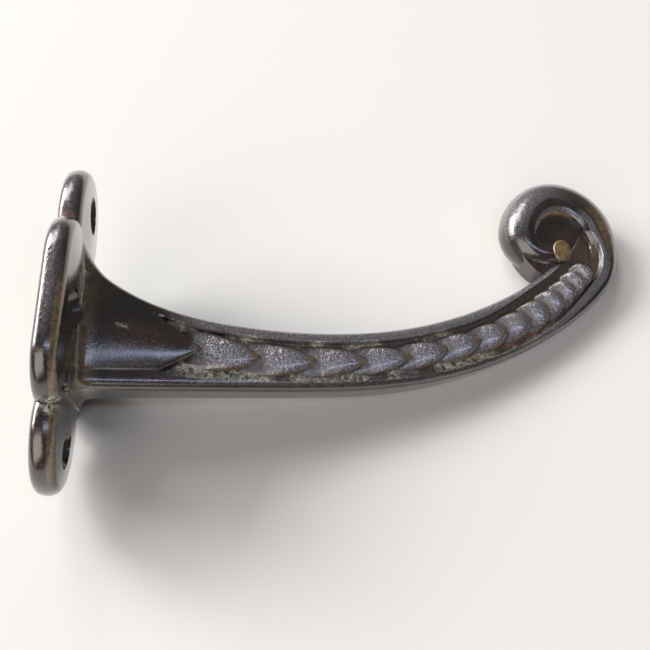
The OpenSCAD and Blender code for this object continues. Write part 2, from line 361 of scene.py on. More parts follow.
    def low_rim(self, s):
        """Width of the lower rim: wide at the root, thin along the arm, wider to the horn."""
        root = 2 * np.exp(-np.maximum(s - self.leaf_start, 0) / 10)
        return self.arm.rim + 0.6 + root + 2 * grow(s - self.straight, *self.LOW_RIM_WIDENS)

    def top_rim(self, s):
        """Width of the upper rim: even along the arm, thin by the scroll."""
        return self.arm.rim + 1.4 * (1 - grow(s - self.straight, *self.TOP_RIM_THINS))

    def horn_share(self, s):
        """How far the arm's section has turned to the horn's, from 0 to 1."""
        return grow(s, self.horn_start, self.horn_full - self.horn_start)

    def horn_width(self, s):
        """Width of the horn: full up to the bulb, then falling with a power to the tail's."""
        t = unit((s - self.bulb_start) / (self.end - self.bulb_start))
        return mix(self.scroll.horn, self.scroll.tail, t**1.67)

    def horn_side(self, s):
        """Half the thickness of the horn: the arm's, with the eased swell of the bulb."""
        swell = self.scroll.bulb / 2 * ease(1 - np.abs(s - self.bulb_at) / self.BULB_REACH)
        return self.arm.thickness / 2 + swell

    # ---- husks

    def set_husks(self):
        """Tips of the husks: the pitch shortens with a power of the way along."""
        tips = [self.arm.leaf_tip]
        chain = self.straight + self.CHAIN_END - self.arm.leaf_tip
        while tips[-1] <= self.arm.leaf_tip + chain:
            t = unit((tips[-1] - self.arm.leaf_tip) / chain)
            tips.append(tips[-1] + mix(self.arm.first_husk, self.arm.last_husk, t**1.5))
        self.tips = np.array(tips[:-1])

    def husk_centre(self, s, a, b):
        """Depth of the husks' middle line, a share of the channel: it comes down from the
        leaf's tip, and later to the lower rim."""
        share = mix(self.LEAF_MIDDLE, 0.53, grow(s, self.arm.leaf_tip, 15))
        share = share - 0.12 * grow(s - self.straight, *self.CHAIN_FALLS)
        return mix(a, b, share)

    def husk_half(self, s, a, b):
        """Half the width of the husks: a share of the channel, which shrinks a little."""
        return (b - a) * mix(0.4, 0.36, grow(s, *self.HUSKS_NARROW))

    def husk_shape(self, i, s, q, a, b):
        """Height of husk i over the channel floor, the way along it from root to tip and
        the place across it. Outline: widens over the first part, then closes in an ogive.
        Height: a scale that bulges up from under the husk before it, is full past its
        middle, and rounds down to its tip. The late husks are blunter and higher."""
        widest, crest, tip_fall = 0.4, 0.74, 0.26
        pitch = self.tips[i + 1] - self.tips[i]
        root = self.tips[i] - 0.5 * pitch
        p = (s - root) / (self.tips[i + 1] - root)
        late = grow(self.tips[i], *self.HUSKS_LATE)
        t = unit((p - widest) / (1 - widest))
        ogive = (1 - t ** mix(2.1, 2.6, late)) ** mix(0.72, 0.5, late)
        outline = np.where(p < widest, mix(0.8, 1.0, ease(p / widest)), ogive)
        half = self.husk_half(s, a, b) * outline * (p < 1)
        e = np.abs(q - self.husk_centre(s, a, b)) / np.maximum(half, 1e-3)
        down = unit((p - crest) / (1 - crest))
        rise = mix(0.08, 1.08, ease(p / crest)) - tip_fall * down**2
        rise = rise * mix(1.0, 1.2, late)
        crown = 0.2 + 0.8 * np.sqrt(unit(1 - e**2.2))
        edge = ease((1 - e) * half / 0.18)
        inside = (p > 0) & (p < 1) & (e < 1)
        height = np.where(inside, rise * crown * edge, 0.0)
        return height, np.where(inside, p, 0.0), np.where(inside, e, 1.0)

    def leaf_shape(self, s, q, a, b):
        """Height of the root leaf: the full side at the root, closing to a point, with a
        crown across it that is a parabola."""
        close = unit((self.arm.leaf_tip - s) / self.arm.leaf_point)
        middle = mix(mix(a, b, self.LEAF_MIDDLE), (a + b) / 2, close)
        half = np.maximum((b - a) / 2 * close**0.8, 1e-3)
        e = np.abs(q - middle) / half
        crown = 1 + 0.7 * (1 - e * e) * close
        edge = np.where(close < 1, ease((1 - e) * half / 0.4), 1.0)
        return np.where(e < 1, crown * edge, 0.0) * (s < self.arm.leaf_tip), e

    def relief(self, s, q, a, b):
        """Level in the channel, the highest of the leaf and all the husks, with the way
        along the one that is highest and the place across it."""
        level, across = self.leaf_shape(s, q, a, b)
        way = unit((s - self.leaf_start) / self.arm.leaf_point) * 0.99
        way = np.where(level > 0, way, 0.0)
        for i in range(len(self.tips) - 1):
            height, p, e = self.husk_shape(i, s, q, a, b)
            higher = height > level
            way = np.where(higher, p, way)
            across = np.where(higher, e, across)
            level = np.maximum(level, height)
        return level, way, across

    # ---- sections: half profiles from the underside to the top, as x and q

    def rim_curve(self, w, a, r):
        """Half of the flat edge, then a quarter circle of radius r to the side w, then on
        to the depth a. Depths run with the square of the count, so the round is smooth."""
        flat = (w - r) * np.linspace(0, 1, self.FLAT + 1)[None, :-1]
        deep = np.linspace(0, 1, self.ROUND)[None, :] ** 2 * a
        inside = np.sqrt(np.maximum(r * r - (r - np.minimum(deep, r)) ** 2, 0))
        x = np.concatenate([flat, w - r + inside], 1)
        q = np.concatenate([np.zeros_like(flat), deep], 1)
        return x, q

    def arm_half(self, s):
        """Section of the arm: underside, rounded lower rim, channel with husks, rounded
        upper rim, top. The side is solid at the root, and the channel opens past it."""
        s = s[:, None]
        low_fillet = self.fillet(s, self.arm.fillet / 3)
        w = self.arm_side(s) + self.fillet(s, self.arm.side_fillet)
        top = self.arm_height(s) + self.fillet(s, self.arm.fillet)
        a = self.low_rim(s)
        b = self.arm_height(s) - self.top_rim(s)
        floor = w - self.arm.channel
        opened = grow(s, self.leaf_start, 0.6)
        wall = mix(w, floor, opened)
        rim_x = mix(w, floor, grow(s, self.top_rim_end, 8))
        low_x, low_q = self.rim_curve(w, a + low_fillet, self.arm.edge)
        up_x, up_q = self.rim_curve(rim_x, top - b, self.arm.edge)
        low_edge, up_edge = low_x[:, -1:], up_x[:, -1:]
        down = np.linspace(0, 1, self.WALL + 2)[None, 1:-1]
        share = np.linspace(0, 1, self.FLOOR)[None, :]
        floor_q = mix(a + self.LEAN, b - self.LEAN, share)
        level, way, across = self.relief(s, floor_q, a, b)
        x = [
            low_x,
            mix(low_edge, np.minimum(wall, low_edge), ease(down)),
            floor + self.arm.channel * level,
            mix(np.minimum(wall, up_edge), up_edge, ease(down)),
            up_x[:, ::-1],
        ]
        q = [
            low_q - low_fillet,
            a + self.LEAN * down,
            floor_q,
            b - self.LEAN + self.LEAN * down,
            top - up_q[:, ::-1],
        ]
        masks = self.arm_masks(s, share, opened, level, way, across)
        return np.concatenate(x, 1), np.concatenate(q, 1), masks

    def arm_masks(self, s, share, opened, level, way, across):
        """Finish of the arm. Masks are products of eased steps: on is 1 on a husk, and off
        is 1 on the open floor. Share runs up the floor, and way along a husk."""
        masks = {name: np.zeros((len(s), self.COUNT)) for name in MASKS}
        floor = np.s_[:, self.FLOOR_START : self.FLOOR_END]
        low_line = np.s_[:, self.BACK - 1 : self.FLOOR_START + 2]
        top_line = np.s_[:, self.FLOOR_END - 2 : self.FLOOR_END + self.WALL + 1]
        low_corner = np.s_[:, self.BACK - 4 : self.BACK + 1]
        top_edge = np.s_[:, self.FLOOR_END + self.WALL - 2 :]
        on = grow(level, 0.04, 0.08) * opened
        off = opened * (1 - on)

        # husks: varnish on tips and sides, bare backs, and painted shade on each root, under
        # the tip of the husk before
        sides = grow(across, 0.72, 0.2) * grow(way, 0.3, 0.3)
        tip = np.maximum(grow(way, 0.84, 0.1), 0.8 * sides) * on
        husk = grow(s - self.leaf_start, 5, 4)
        # painted shade: the root of each husk, just past the tip of the one before, gets the deep
        # colour
        under = fade(way, mix(0.41, 0.5, grow(s, 60, 40)), 0.06)
        masks["olive"][floor] = np.maximum(tip, 0.3 * off)
        masks["worn"][floor] = on * (1 - tip) * husk
        masks["deep"][floor] = np.maximum(off, 0.9 * on * under * husk)

        # pockets: paint low in the channel and at places by the upper rim, and rust
        low_pocket = fade(share, 0.5, 0.1) * fade(s, 104, 12)
        top_pocket = grow(share, 0.7, 0.1) * near(s, self.PAINTED_TOP, 4)
        masks["residue"][floor] = off * np.maximum(low_pocket, top_pocket)
        masks["rust"][floor] = off * fade(share, 0.45, 0.2) * near(s, self.RUSTED, 4)

        # a pale streak on the leaf, a thin leaning oval, and paint beside the rims
        streak_at, streak_share, streak_lean = 14.5, 0.6, 90
        along = (s - streak_at) / 1.2
        over = (share - streak_share - (s - streak_at) / streak_lean) / 0.022
        streak = 0.7 * ease(1.5 - np.hypot(along, over))
        low_paint = 0.6 * grow(s, 23, 4) * fade(s, 120, 12)
        top_paint = near(s, self.PAINTED_LINE, 5)
        for area, paint_left in ((floor, streak), (low_line, low_paint), (top_line, top_paint)):
            masks["residue"][area] = np.maximum(masks["residue"][area], paint_left)

        # edges rubbed bare past the root, and varnish kept beside the plate
        past_root = grow(s, 20, 12)
        masks["worn"][low_corner] = mix(0.2, 0.6, grow(s, 92, 16)) * past_root
        masks["worn"][top_edge] = 0.65 * past_root
        masks["olive"] += 0.75 * fade(s, self.front + 5, 3) * (masks["deep"] == 0)
        return masks

    def horn_half(self, s):
        """Section of the horn: a rounded back from the outer edge to the crest, a quarter
        ellipse down the inner lip, then the flat web."""
        s = s[:, None]
        w, width, web = self.horn_side(s), self.horn_width(s), self.scroll.web / 2
        crest = width * mix(0.8, 0.56, grow(s, self.bulb_start, 18))
        ridge = mix(1.0, 1.25, grow(s - self.end, -22, 14))
        back = np.linspace(0, math.pi / 2, self.BACK)[None, :]
        lip = np.linspace(0, math.pi / 2, self.LIP + 1)[None, 1:]
        lap = np.linspace(0, 1, self.COUNT - self.BACK - self.LIP + 1)[None, 1:]
        flat = np.repeat(np.where(lap < 1, web, 0.0), len(s), 0)
        x = [w * np.sin(back) ** ridge, mix(web, w, np.cos(lip) ** 0.8), flat]
        q = [crest * (1 - np.cos(back)), mix(crest, width, np.sin(lip)), width + 1.4 * lap]
        return np.concatenate(x, 1), np.concatenate(q, 1), self.horn_masks(s)

    def horn_masks(self, s):
        """Finish of the horn, as products of eased steps along it: a varnished back, bare
        crest and bulb, a varnished inner lip with a bare edge, a dirty web, and varnish
        at the eye."""
        masks = {name: np.zeros((len(s), self.COUNT)) for name in MASKS}
        inner = self.BACK + self.LIP
        across = np.linspace(-0.2, 1.4, self.BACK - 3)[None, :]
        rising = grow(s, self.horn_start, 12) * fade(s, self.bulb_start + 6, 16)
        bulb = 0.6 * near(s, (self.bulb_at - 2,), 19)
        lip = grow(s, self.bulb_start, 8) * fade(s, self.end - 14, 8)
        worn, olive = masks["worn"], masks["olive"]
        olive[:, : self.BACK - 3] = 0.8 * rising * ease(across)
        worn[:, self.BACK - 2 : self.BACK + 2] = rising
        worn[:, 4 : self.BACK] = np.maximum(worn[:, 4 : self.BACK], bulb)
        olive[:, self.BACK + 8 : inner] = lip
        worn[:, self.BACK + 5 : self.BACK + 8] = 0.8 * lip
        masks["deep"][:, inner:] = 1.0
        eye = grow(s - self.end, -4, 3)
        olive[:, : self.BACK] = np.maximum(olive[:, : self.BACK], eye)
        return masks

    def rings(self, s):
        """Closed rings of the skin at each s, and their masks: the half profile, mixed
        from the arm's and the horn's by the horn's share, and its mirror image."""
        m = self.horn_share(s)[:, None]
        arm_x, arm_q, arm_masks = self.arm_half(np.minimum(s, self.horn_full))
        horn_x, horn_q, horn_masks = self.horn_half(s)
        x, q = mix(arm_x, horn_x, m), mix(arm_q, horn_q, m)
        right = self.place(s[:, None], q, x)
        left = self.place(s[:, None], q, -x)[:, ::-1]
        points = np.concatenate([right[:, :-1], left[:, :-1]], 1)
        masks = {}
        for name in MASKS:
            mask = mix(arm_masks[name], horn_masks[name], m)
            masks[name] = np.concatenate([mask[:, :-1], mask[:, :0:-1]], 1)
        return points, masks


# -------- meshes


def strip_faces(rows, columns, close):
    """Quads between the rows of a grid of points, closed across the last column or not."""
    i = np.arange(rows - 1)[:, None] * columns
    j = np.arange(columns if close else columns - 1)[None, :]
    k = (j + 1) % columns
    corners = np.broadcast_arrays(i + j, i + k, i + columns + k, i + columns + j)
    return np.stack(corners, -1).reshape(-1, 4)


def put_mesh(name, points, quads, triangles, masks=None):
    """A mesh object from arrays of points in millimetres and of faces. Faces are turned
    outwards: the sum of the signed volumes under them is made positive. Masks for the
    finish are kept on the points, and points past the end of a mask get 0."""
    mesh = bpy.data.meshes.new(name)
    mesh.from_pydata((points * MM).tolist(), [], [*quads.tolist(), *triangles.tolist()])
    corner = points[quads]
    volume = np.einsum("ij,ij->i", corner[:, 0], np.cross(corner[:, 1], corner[:, 2])).sum()
    volume += np.einsum("ij,ij->i", corner[:, 0], np.cross(corner[:, 2], corner[:, 3])).sum()
    if volume < 0:
        mesh.flip_normals()
    masks = masks or {}
    for key in MASKS:
        values = np.zeros(len(points), np.float32)
        mask = unit(np.ravel(masks.get(key, 0.0)))
        values[: len(mask)] = mask
        mesh.attributes.new(key, "FLOAT", "POINT").data.foreach_set("value", values)
    piece = bpy.data.objects.new(name, mesh)
    bpy.context.scene.collection.objects.link(piece)
    return piece


def tube(name, rings, masks, plug=0.0):
    """Closed tube through rings that are symmetric from side to side. Each end is capped
    by a ladder of quads between mirrored points. The first ring shrinks to its middle by
    the share of the plug, so that it ends inside the piece it joins."""
    rings[0] = mix(rings[0], rings[0].mean(0), plug)
    rows, n = rings.shape[:2]
    last = (rows - 1) * n
    half = n // 2
    j = np.arange(1, half - 1)
    ladder = np.stack([j, j + 1, n - j - 1, n - j], -1)
    quads = np.concatenate([strip_faces(rows, n, True), ladder[:, ::-1], ladder + last])
    ends = np.array([[0, n - 1, 1], [half, half - 1, half + 1]])
    ends = np.concatenate([ends, ends[:, ::-1] + last])
    return put_mesh(name, rings.reshape(-1, 3), quads, ends, masks)


def closed_rings(name, rings, poles, masks=None):
    """Closed body through rows of rings, each end a fan of triangles to its pole."""
    rows, n = rings.shape[:2]
    last, count = (rows - 1) * n, rows * n
    i = np.arange(n)
    k = (i + 1) % n
    fans = [
        np.stack([k, i, np.full(n, count)], -1),
        np.stack([last + i, last + k, np.full(n, count + 1)], -1),
    ]
    points = np.concatenate([rings.reshape(-1, 3), poles])
    return put_mesh(name, points, strip_faces(rows, n, True), np.concatenate(fans), masks)


def outline(angle, w, h, r):
    """Distance from the middle to a rounded rectangle, along each angle: to its side, to
    its top, or to the circle of its corner by the quadratic formula."""
    dx, dz = np.abs(np.cos(angle)), np.abs(np.sin(angle))
    side, top = w / np.maximum(dx, 1e-9), h / np.maximum(dz, 1e-9)
    along = dx * (w - r) + dz * (h - r)
    reach = along**2 - (w - r) ** 2 - (h - r) ** 2 + r * r
    corner = along + np.sqrt(np.maximum(reach, 0))
    return np.where(side * dz <= h - r, side, np.where(top * dx <= w - r, top, corner))


# Rings of a lobe: round its rim, and over its front to the middle.
RIM_RINGS, FRONT_RINGS = 19, 11


def lobe(name, plate, w, h, r, crown, centre, sides):
    """A lobe of the plate. Each ring is the outline moved in: round the full half circle
    of the rim, then shrinking to the middle while the front swells as a power curve."""
    half = plate.rim / 2
    turn = np.linspace(-math.pi / 2, math.pi / 2, RIM_RINGS)
    rim_inset = half * (1 - np.maximum(np.cos(turn), 0) ** 0.7)
    front_share = np.linspace(0.94, 0.04, FRONT_RINGS)
    swell = crown * (1 - front_share**1.3)
    inset = np.concatenate([rim_inset, np.full(FRONT_RINGS, half)])[:, None]
    share = np.concatenate([np.ones(RIM_RINGS), front_share])[:, None]
    depth = np.concatenate([half * (1 + np.sin(turn)), plate.rim + swell])[:, None]
    angle = 2 * math.pi * (np.arange(sides) + 0.5) / sides
    d = outline(angle, w - inset, h - inset, r - inset) * share
    x, z = d * np.cos(angle), d * np.sin(angle) + centre
    rings = np.stack(np.broadcast_arrays(x, -depth, z), -1)
    poles = np.array([[0, 0, centre], [0, -plate.rim - crown, centre]])
    return closed_rings(name, rings, poles, lobe_masks(plate, *np.moveaxis(rings, -1, 0)))


def lobe_masks(plate, x, y, z):
    """Finish of a lobe, as eased falls with distance: rust in the upper notches, paint
    in the lower ones, a bare rim, and varnish low on the front's round and in one spill
    under the arm."""
    ring = np.arange(len(x))[:, None]
    notch = np.hypot(np.abs(x) - plate.notch, np.abs(z) - plate.lobe_height / 2 + 0.4)
    fullest = np.maximum(1 - np.abs(ring - RIM_RINGS // 2) / 5, 0)
    front_round = (ring >= 12) & (ring < 17)
    low_round = front_round * fade(z, 8, 8) * grow(np.abs(x), 4, 4)
    spill = ease(1.5 - np.hypot((x - 2) / 2.2, (z + 19.5) / 4.5)) * (y < -plate.rim / 2)
    return {
        "rust": ease(1.3 - notch / 0.9) * (z > 0),
        "residue": 1.6 * ease(1.6 - notch / 1.6) * (z < 0),
        "olive": np.maximum(low_round, spill),
        "worn": 0.45 * fullest * grow(z, -12, 12),
    }


def turned(name, profile, centre, axis, sides):
    """Closed body of revolution from a profile of radius and height, about an axis."""
    angle = 2 * math.pi * np.arange(sides)[:, None] / sides
    radius, height = np.asarray(profile, float).T[..., None, None]
    across = Vector(axis).orthogonal().normalized()
    other = Vector(axis).cross(across)
    ring = np.cos(angle) * np.array(across) + np.sin(angle) * np.array(other)
    centre, axis = np.array(centre), np.array(axis, float)
    rings = centre + radius * ring + height * axis
    poles = centre + height[[0, -1], 0] * axis
    return closed_rings(name, rings, poles)


def screw_hole(name, plate, x, z):
    """Cutter for a countersunk hole: a cylinder, a cone from the hole's to the head's
    size, and a cylinder that clears the swollen front, with a softened mouth."""
    hole, sink = plate.hole / 2, plate.sink / 2
    deep = plate.rim - (sink - hole)
    profile = [
        (hole, -1),
        (hole, deep - 0.15),
        (hole + 0.1, deep + 0.1),
        (sink, plate.rim),
        (sink + 0.1, plate.rim + plate.lobe_crown + 1),
    ]
    return turned(name, profile, (x, 0, z), (0, -1, 0), 96)


def web_disc(name, casting):
    """Flat web in the hollow of the scroll: a disc whose edge is inside the horn."""
    size = casting.scroll
    hub = casting.place(np.array([casting.joint]), size.radius, 0.0)[0]
    r, half = size.radius - 2.6, size.web / 2
    return turned(name, [(r, -half), (r, half)], hub, (1, 0, 0), 128)


def eye_button(name, casting):
    """The eye: an oval button through the scroll. Each face is slightly domed, and
    falls to the full oval in a quarter ellipse."""
    size = casting.scroll
    middle = casting.place(np.array([casting.end]), size.tail / 2, 0.0)[0]
    half = size.eye_thickness / 2
    turn = np.linspace(0, math.pi / 2, 8)
    share = np.concatenate([[0.4, 0.7], 1 - 0.16 * (1 - np.sin(turn))])
    level = np.concatenate([[half - 0.02, half - 0.06], half - 0.1 - 0.4 * (1 - np.cos(turn))])
    share = np.concatenate([share, share[::-1]])[:, None]
    level = np.concatenate([level, -level[::-1]])[:, None]
    angle = 2 * math.pi * np.arange(64) / 64
    y = share * size.eye_width / 2 * np.cos(angle)
    z = share * size.eye_height / 2 * np.sin(angle)
    rings = middle + np.stack(np.broadcast_arrays(level, y, z), -1)
    poles = middle + np.array([[half, 0, 0], [-half, 0, 0]])
    return closed_rings(name, rings, poles, {"olive": np.ones(y.size + len(poles))})


def stations(casting):
    """Distances at which the rings stand: over the root's fillet by the cosine, close
    along the husks, round the curl to the joint, and on the tail, from inside the arm."""
    front, fillet, tip = casting.front, casting.arm.fillet, casting.leaf_start
    turn = np.linspace(0, math.pi / 2, 13)
    chain_end = casting.tips[-1] + 1
    along = [
        [front / 2],
        front + fillet * (1 - np.cos(turn)),
        np.linspace(front + fillet, tip, 15)[1:-1],
        np.linspace(tip, chain_end, 300),
        np.linspace(chain_end, casting.joint, 72)[1:],
    ]
    tail = [[casting.joint - 0.5], np.linspace(casting.joint, casting.end, 96)]
    return np.concatenate(along), np.concatenate(tail)


def combine(base, pieces, operation):
    """Joins pieces to base, or cuts them from it, as closed solids."""
    for piece in pieces:
        step = base.modifiers.new(piece.name, "BOOLEAN")
        step.solver = "MANIFOLD"
        step.operation = operation
        step.object = piece
    evaluated = base.evaluated_get(bpy.context.evaluated_depsgraph_get())
    made = bpy.data.meshes.new_from_object(evaluated)
    base.modifiers.clear()
    base.data = made
    for piece in pieces:
        bpy.data.objects.remove(piece)


class HOOK_OT_casting(bpy.types.Operator):
    """Build the casting: plate, arm, husks, scroll and eye in one closed skin"""

    bl_idname = "hook.build_casting"
    bl_label = "Build casting"

    FEWEST_FACES = 1000
    SHARP_ANGLE = math.radians(50)

    def execute(self, context):
        scene = context.scene
        groups = scene.hook_plate, scene.hook_arm, scene.hook_scroll
        plate, arm, scroll = map(in_mm, groups)
        casting = Casting(arm, scroll, plate)
        along, tail = stations(casting)
        hook = tube("iron_casting", *casting.rings(along))
        side = (plate.width / 2, plate.lobe_height / 2, plate.lobe_radius, plate.lobe_crown)
        tab = (plate.tab_radius, plate.tab_radius, plate.tab_radius, plate.tab_crown)
        tab_at = plate.height / 2 - plate.tab_radius
        pieces = [
            tube("scroll_tail", *casting.rings(tail), plug=0.05),
            web_disc("web", casting),
            eye_button("eye", casting),
            lobe("lobe", plate, *side, 0, 180),
            lobe("tab_top", plate, *tab, tab_at, 120),
            lobe("tab_low", plate, *tab, -tab_at, 120),
        ]
        combine(hook, pieces, "UNION")
        up, out = plate.tab_holes / 2, plate.side_holes / 2
        places = ((0, up), (0, -up), (-out, 0), (out, 0))
        holes = [screw_hole("hole", plate, x, z) for x, z in places]
        combine(hook, holes, "DIFFERENCE")
        if len(hook.data.polygons) < self.FEWEST_FACES:
            raise RuntimeError("the casting's pieces did not join")
        hook.data.shade_smooth()
        hook.data.set_sharp_from_angle(angle=self.SHARP_ANGLE)
        hook.data.materials.clear()
        hook.data.materials.append(japanned_iron(scene.hook_colours))
        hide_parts("hook")
        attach(hook, "root")
        return {"FINISHED"}


# -------- materials


def add_node(tree, kind, inputs=None, **settings):
    """Adds a node, sets its properties, and gives its inputs their values or links."""
    node = tree.nodes.new(kind)
    for key, value in settings.items():
        setattr(node, key, value)
    for key, value in (inputs or {}).items():
        if isinstance(value, bpy.types.NodeSocket):
            tree.links.new(value, node.inputs[key])
        else:
            node.inputs[key].default_value = value
    return node


# Patterns in the finish: size of a feature in millimetres, detail, and the two
# thresholds of the noise between which the pattern goes from 0 to 1. Fine sand of the
# mould is 0.2 to 0.3 mm; it is drawn at 0.32 and 0.5, so that it shows.
PATTERNS = {
    "cloud": (7, 3, 0.42, 0.62),
    "waves": (2.4, 2, 0.2, 0.8),
    "dents": (1.0, 2, 0.3, 0.7),
    "pits": (0.5, 4, 0.2, 0.8),
    "fleck": (0.5, 3, 0.42, 0.62),
    "spark": (0.32, 2, 0.5, 0.62),
    "patch": (1.1, 5, 0.42, 0.52),
    "swirl": (1.8, 5, 0.3, 0.7),
    "kept": (5, 2, 0.38, 0.48),
}

# Sums on the patterns and masks, in order: result, operation and up to three inputs.
SUMS = (
    ("flecked", "MULTIPLY_ADD", "fleck", 0.5, 0.45),
    ("rubbed", "MULTIPLY", "worn", "flecked"),
    ("glint", "MULTIPLY", "spark", "cloud"),
    ("glint", "MULTIPLY", "glint", 0.12),
    ("bare", "MAXIMUM", "rubbed", "glint"),
    ("fold", "PINGPONG", "swirl", 0.5),
    ("vein", "MULTIPLY_ADD", "fold", 8.0, -3.0),
    ("flake", "MULTIPLY_ADD", "patch", 0.3, "vein"),
    ("flake", "MULTIPLY", "flake", "kept"),
    ("paint", "MULTIPLY", "flake", "residue"),
    ("unpainted", "SUBTRACT", "patch", "paint"),
    ("rusted", "MULTIPLY", "rust", "unpainted"),
    ("yellowed", "MULTIPLY_ADD", "patch", 0.4, 0.4),
    ("varnish", "MULTIPLY", "olive", "yellowed"),
    # The deep colour's share: grime on the channel floors and the web, and painted shade on the
    # root of each husk.
    ("dirt_and_shade", "MULTIPLY", "deep", 0.75),
    ("clean", "SUBTRACT", 1.0, "deep"),
    ("metal", "MULTIPLY", "bare", "clean"),
    ("rough", "MULTIPLY_ADD", "fleck", 0.1, 0.16),
    ("rough", "MULTIPLY_ADD", "bare", 0.03, "rough"),
    ("rough", "MULTIPLY_ADD", "varnish", 0.25, "rough"),
    ("rough", "MULTIPLY_ADD", "rusted", 0.5, "rough"),
    ("rough", "MULTIPLY_ADD", "paint", 0.5, "rough"),
    ("rough", "MULTIPLY_ADD", "deep", 0.15, "rough"),
    ("height", "MULTIPLY_ADD", "waves", 0.9, "pits"),
    ("height", "MULTIPLY_ADD", "paint", 1.2, "height"),
    ("rub", "MULTIPLY_ADD", "dents", 3.4, "spark"),
    ("height", "MULTIPLY_ADD", "rub", "worn", "height"),
)

# Results held between 0 and 1.
HELD = ("vein", "flake", "unpainted", "rough")

# Gloss of the japan and of the baked varnish over it, the same all over.
JAPAN_GLOSS = {
    "Specular IOR Level": 1.0,
    "Coat Weight": 0.85,
    "Coat IOR": 1.6,
    "Coat Roughness": 0.16,
}

# Sockets of a Mix node for colours: its factor, its two colours and its result.
MIX_SHARE, MIX_UNDER, MIX_OVER, MIX_COLOUR = 0, 6, 7, 2


def japanned_iron(colours):
    """Black japan on cast iron: a baked asphalt varnish, dip coated over a sand-cast
    skin. It gives a brown-black semi-gloss with fine pits. On the husks it is rubbed
    through to dark bare iron, which glitters blue-grey. Tips and eye keep yellowed
    varnish, pockets keep a cream-green paint, and some of them have rusted."""
    material = bpy.data.materials.new("japanned_cast_iron")
    material.use_nodes = True
    tree = material.node_tree
    shader = tree.nodes["Principled BSDF"]
    where = add_node(tree, "ShaderNodeTexCoord").outputs["Object"]
    value = {}
    for name in MASKS:
        mask = add_node(tree, "ShaderNodeAttribute", attribute_name=name)
        value[name] = mask.outputs["Fac"]
    for name, (size, detail, low, high) in PATTERNS.items():
        grain = {"Vector": where, "Scale": 1 / (size * MM), "Detail": detail}
        noise = add_node(tree, "ShaderNodeTexNoise", grain)
        spread = {"Value": noise.outputs["Fac"], "From Min": low, "From Max": high}
        value[name] = add_node(tree, "ShaderNodeMapRange", spread).outputs["Result"]
    for name, operation, *terms in SUMS:
        inputs = {i: value.get(term, term) for i, term in enumerate(terms)}
        held = name in HELD
        total = add_node(tree, "ShaderNodeMath", inputs, operation=operation, use_clamp=held)
        value[name] = total.outputs[0]
    colour = tuple(colours.japan)
    for share, over in (
        ("cloud", colours.maroon),
        ("bare", colours.worn),
        # grime on the channel floors and the web, and painted shade on the husk roots
        ("dirt_and_shade", colours.deep),
        ("varnish", colours.tip),
        ("rusted", colours.rust),
        ("paint", colours.residue),
    ):
        layers = {MIX_SHARE: value[share], MIX_UNDER: colour, MIX_OVER: tuple(over)}
        layer = add_node(tree, "ShaderNodeMix", layers, data_type="RGBA")
        colour = layer.outputs[MIX_COLOUR]
    tree.links.new(colour, shader.inputs["Base Color"])
    tree.links.new(value["metal"], shader.inputs["Metallic"])
    tree.links.new(value["rough"], shader.inputs["Roughness"])
    for socket, amount in JAPAN_GLOSS.items():
        shader.inputs[socket].default_value = amount
    relief = {"Height": value["height"], "Strength": 0.5, "Distance": 0.06 * MM}
    bump = add_node(tree, "ShaderNodeBump", relief)
    tree.links.new(bump.outputs["Normal"], shader.inputs["Normal"])
    return material


# -------- stage


# The view: the point looked at, the camera's distance from it, and its azimuth,
# elevation and roll in degrees.
VIEW_TARGET = Vector((0, -56.33, 3.48)) * MM
VIEW_DISTANCE = 154.44 * MM
VIEW_TURN = (-100.73, -17.66, 0.2)

# Lens and sensor's width in millimetres, and the nearest that is seen.
LENS, SENSOR = 38.77, 36.0
NEAREST = 5 * MM

# The floor: a point on it, its normal, and how far it reaches each way. The side lobe
# and the scroll lie on it, sunk in by up to 1 and 3.6 mm.
FLOOR_POINT = Vector((20.25, -2.5, -5.0)) * MM
FLOOR_NORMAL = Vector((-0.956, 0.19, 0.225)).normalized()
FLOOR_REACH = 900 * MM

# Lamps: place right, up and back of the view's middle in the camera's axes, width and
# height, all in metres, power in watts and colour.
LAMPS = (
    ("window", (-2.10, 1.12, 0.59), (0.95, 1.60), 51.0, "fffdfb"),
    ("corner", (-1.66, 1.72, 0.50), (0.90, 0.90), 41.0, "fbfdff"),
    ("ceiling", (-0.80, 2.42, 0.86), (0.90, 1.60), 25.5, "fffdfa"),
    ("fill", (-0.90, -0.80, 2.20), (2.40, 2.00), 30.0, "fff6ec"),
    ("far window", (-1.20, 1.00, -1.70), (1.20, 1.20), 36.0, "fffdfa"),
    ("strip", (0.22, 0.12, 0.54), (0.40, 0.06), 0.42, "cfdcff"),
)

# The world's even light, the white past the floor, and the share of it in a gloss.
EVEN_COLOUR, EVEN_STRENGTH = "fff8f0", 0.07
WHITE = "f7f6f3"
GLOSS_SHARE = 0.06


class HOOK_OT_stage(bpy.types.Operator):
    """Build the stage: pale floor, soft lamps, plain world and the camera"""

    bl_idname = "hook.build_stage"
    bl_label = "Build stage"

    def execute(self, context):
        scene = context.scene
        camera = place_camera(scene)
        lay_floor(scene)
        hang_lamps(scene, camera)
        light_world(scene)
        scene.view_settings.view_transform = "Standard"
        return {"FINISHED"}


def looking(azimuth, elevation, roll):
    """Right, up and back axes of a view, as the columns of a matrix: back by sines and
    cosines, right level, and then right and up turned by the roll."""
    a, e, r = (math.radians(v) for v in (azimuth, elevation, roll))
    back = Vector((math.sin(a) * math.cos(e), -math.cos(a) * math.cos(e), math.sin(e)))
    right = (-back).cross(Vector((0, 0, 1))).normalized()
    up = right.cross(-back)
    turned_right = right * math.cos(r) + up * math.sin(r)
    turned_up = up * math.cos(r) - right * math.sin(r)
    return Matrix((turned_right, turned_up, back)).transposed()


